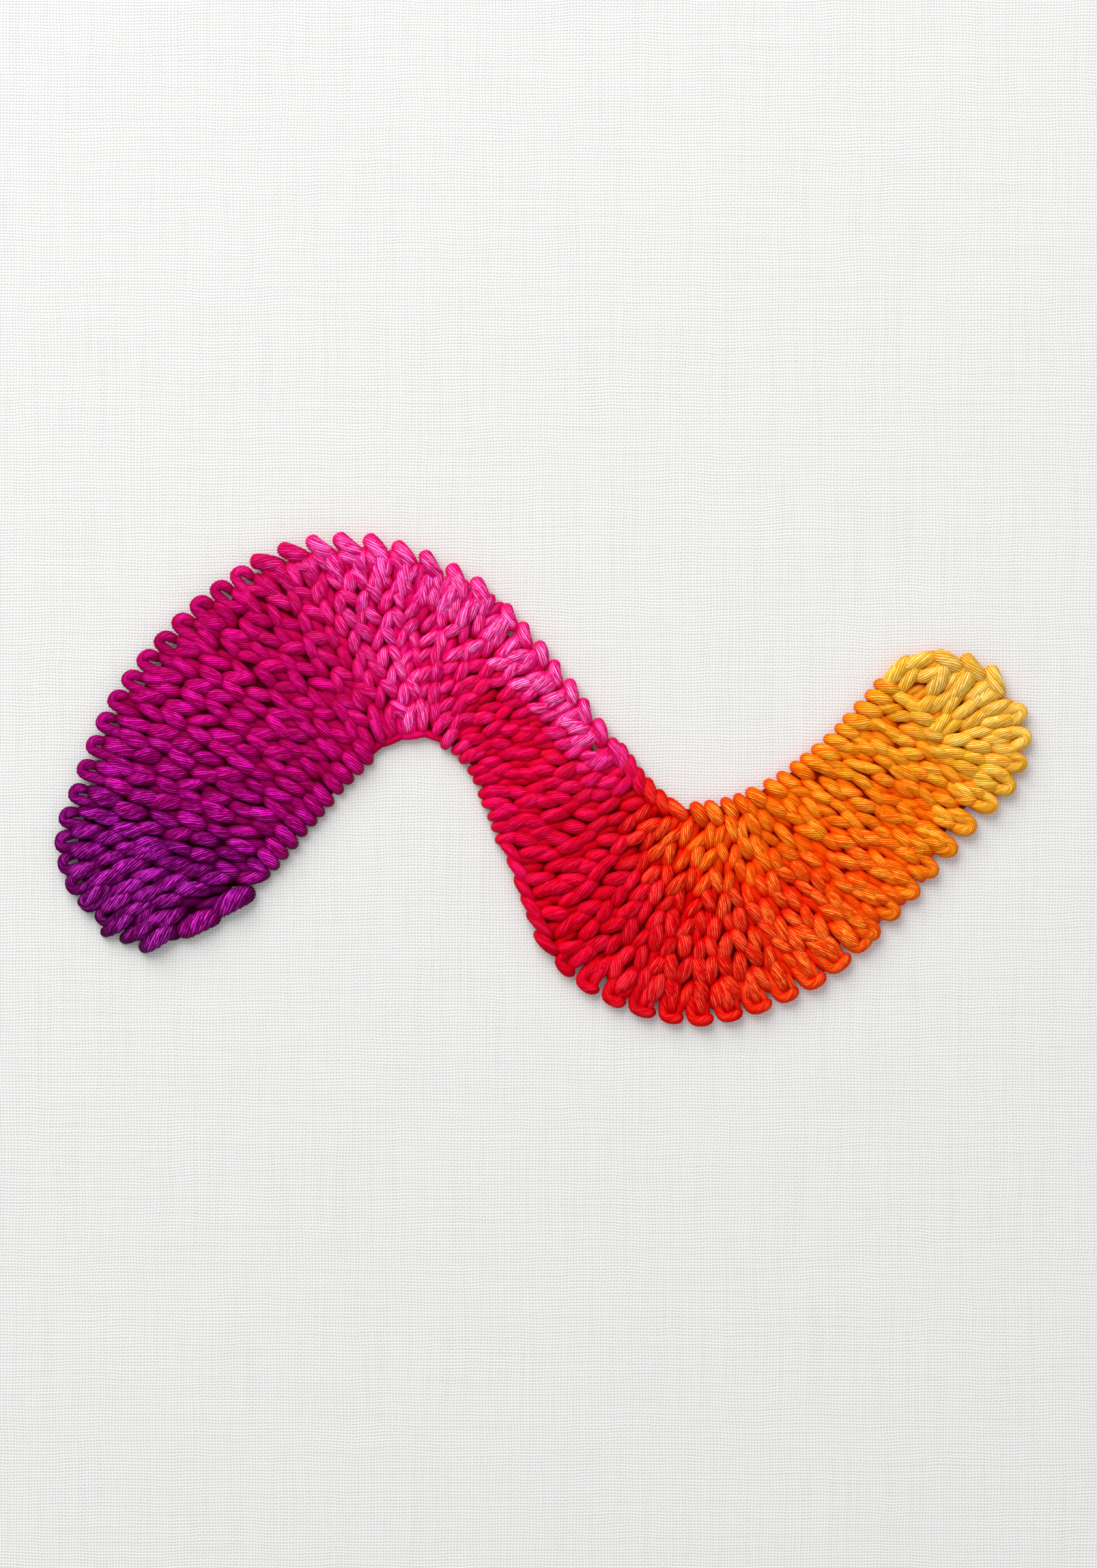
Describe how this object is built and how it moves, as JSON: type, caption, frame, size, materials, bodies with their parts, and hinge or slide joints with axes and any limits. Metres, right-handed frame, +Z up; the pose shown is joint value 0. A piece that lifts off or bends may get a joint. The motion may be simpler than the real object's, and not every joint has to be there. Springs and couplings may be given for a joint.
{
  "type": "thread painting embroidery on a cut piece of linen",
  "caption": "Thread painting embroidery: a raised wave band of chunky long and short stitches, shading from purple through pink, red and orange to gold, on flat white linen.",
  "frame": {"origin": "centre of the linen's underside, on the surface that it lies on", "axes": "+X to the right of the design as seen from above, +Y towards the top of the design, +Z up out of the cloth's face"},
  "size_m": [0.142, 0.2, 0.0032],
  "materials": {
    "linen": "matt plain weave",
    "thread_aubergine": "soft sheen of stranded cotton",
    "thread_plum": "soft sheen of stranded cotton",
    "thread_mulberry": "soft sheen of stranded cotton",
    "thread_cerise": "soft sheen of stranded cotton",
    "thread_fuchsia": "soft sheen of stranded cotton",
    "thread_rose": "soft sheen of stranded cotton",
    "thread_raspberry": "soft sheen of stranded cotton",
    "thread_crimson": "soft sheen of stranded cotton",
    "thread_vermilion": "soft sheen of stranded cotton",
    "thread_scarlet": "soft sheen of stranded cotton",
    "thread_tangerine": "soft sheen of stranded cotton",
    "thread_orange": "soft sheen of stranded cotton",
    "thread_amber": "soft sheen of stranded cotton",
    "thread_straw": "soft sheen of stranded cotton"
  },
  "bodies": {
    "root": {"linen_ground": "linen", "stitches_aubergine": "thread_aubergine", "stitches_plum": "thread_plum", "stitches_mulberry": "thread_mulberry", "stitches_cerise": "thread_cerise", "stitches_fuchsia": "thread_fuchsia", "stitches_rose": "thread_rose", "stitches_raspberry": "thread_raspberry", "stitches_crimson": "thread_crimson", "stitches_vermilion": "thread_vermilion", "stitches_scarlet": "thread_scarlet", "stitches_tangerine": "thread_tangerine", "stitches_orange": "thread_orange", "stitches_amber": "thread_amber", "stitches_straw": "thread_straw"}
  },
  "joints": []
}
